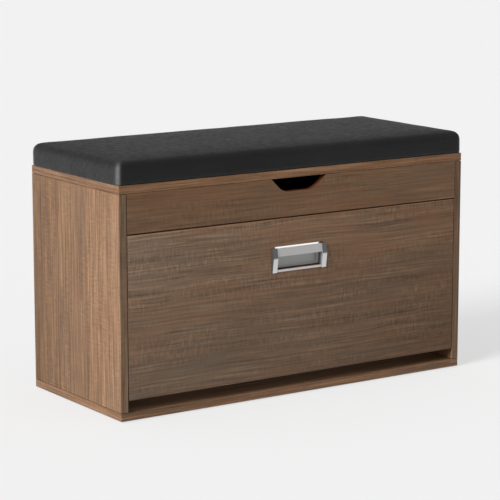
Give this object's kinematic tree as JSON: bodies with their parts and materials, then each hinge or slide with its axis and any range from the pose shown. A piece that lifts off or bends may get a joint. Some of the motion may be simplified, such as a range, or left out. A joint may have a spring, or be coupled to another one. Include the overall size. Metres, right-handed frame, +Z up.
{
  "type": "entryway storage bench",
  "caption": "Walnut-look entryway bench: padded black seat lifts as a lid over a shallow compartment, wide front with a recessed pull tilts out with a shoe rack.",
  "frame": {"origin": "on the floor under the middle of the bench", "axes": "+X to the right of someone who faces the front, +Y from the front to the back, +Z up"},
  "size_m": [0.8, 0.3426, 0.487],
  "materials": {
    "walnut_board": "walnut-look melamine faced board with matching edge band, satin",
    "hardboard": "thin fibreboard with a printed walnut face, matt",
    "plywood": "bare plywood",
    "seat_leather": "black leather-look cover, fine grain, satin",
    "seat_foam": "upholstery foam",
    "satin_aluminium": "satin anodised aluminium",
    "chrome": "bright chrome plate",
    "rack_wire": "chromed steel wire",
    "zinc_steel": "bright zinc plated steel",
    "glide_plastic": "black moulded plastic",
    "bumper_rubber": "clear soft rubber"
  },
  "bodies": {
    "carcass": {"base_panel": "walnut_board", "side_panel_left": "walnut_board", "side_panel_right": "walnut_board", "compartment_floor": "walnut_board", "upper_front_panel": "walnut_board", "rear_board": "walnut_board", "back_panel": "hardboard", "cam_lock_floor_left_front": "zinc_steel", "cam_lock_floor_left_rear": "zinc_steel", "cam_lock_upper_front_left": "zinc_steel", "cam_lock_rear_board_left": "zinc_steel", "base_screw_left_front": "zinc_steel", "base_screw_left_rear": "zinc_steel", "hinge_fixed_leaf_left": "zinc_steel", "hinge_pin_left": "zinc_steel", "pivot_plate_left": "zinc_steel", "pivot_stud_left": "zinc_steel", "cam_lock_floor_right_front": "zinc_steel", "cam_lock_floor_right_rear": "zinc_steel", "cam_lock_upper_front_right": "zinc_steel", "cam_lock_rear_board_right": "zinc_steel", "base_screw_right_front": "zinc_steel", "base_screw_right_rear": "zinc_steel", "hinge_fixed_leaf_right": "zinc_steel", "hinge_pin_right": "zinc_steel", "pivot_plate_right": "zinc_steel", "pivot_stud_right": "zinc_steel", "glide_left_front": "glide_plastic", "glide_left_rear": "glide_plastic", "glide_right_front": "glide_plastic", "glide_right_rear": "glide_plastic", "lid_bumper_left": "bumper_rubber", "lid_bumper_right": "bumper_rubber"},
    "seat_lid": {"lid_board": "walnut_board", "cushion_board": "plywood", "cushion_foam": "seat_foam", "cushion_cover": "seat_leather", "hinge_lid_leaf_left": "zinc_steel", "hinge_lid_leaf_right": "zinc_steel"},
    "tilt_front": {"door_panel": "walnut_board", "handle_cup": "satin_aluminium", "handle_grip": "satin_aluminium", "handle_cap_left": "chrome", "handle_cap_right": "chrome", "rack_cheek_left": "zinc_steel", "rack_cheek_right": "zinc_steel", "stop_pin_left": "zinc_steel", "stop_pin_right": "zinc_steel", "cheek_screw_left_low": "zinc_steel", "cheek_screw_left_high": "zinc_steel", "cheek_screw_right_low": "zinc_steel", "cheek_screw_right_high": "zinc_steel", "rack_rod_front_seat_1": "rack_wire", "rack_rod_front_seat_2": "rack_wire", "rack_rod_divider_low": "rack_wire", "rack_rod_divider_high": "rack_wire", "rack_rod_rear_seat_1": "rack_wire", "rack_rod_rear_seat_2": "rack_wire", "rack_rod_rear_guard": "rack_wire"}
  },
  "joints": [
    {"name": "seat_lid_hinge", "type": "hinge", "parent": "carcass", "child": "seat_lid", "pos_m": [0, 0.1683, 0.4265], "axis": [-1, 0, 0], "range_deg": [0, 85]},
    {"name": "tilt_front_pivot", "type": "hinge", "parent": "carcass", "child": "tilt_front", "pos_m": [0, -0.13, 0.06], "axis": [1, 0, 0], "range_deg": [0, 50]}
  ]
}
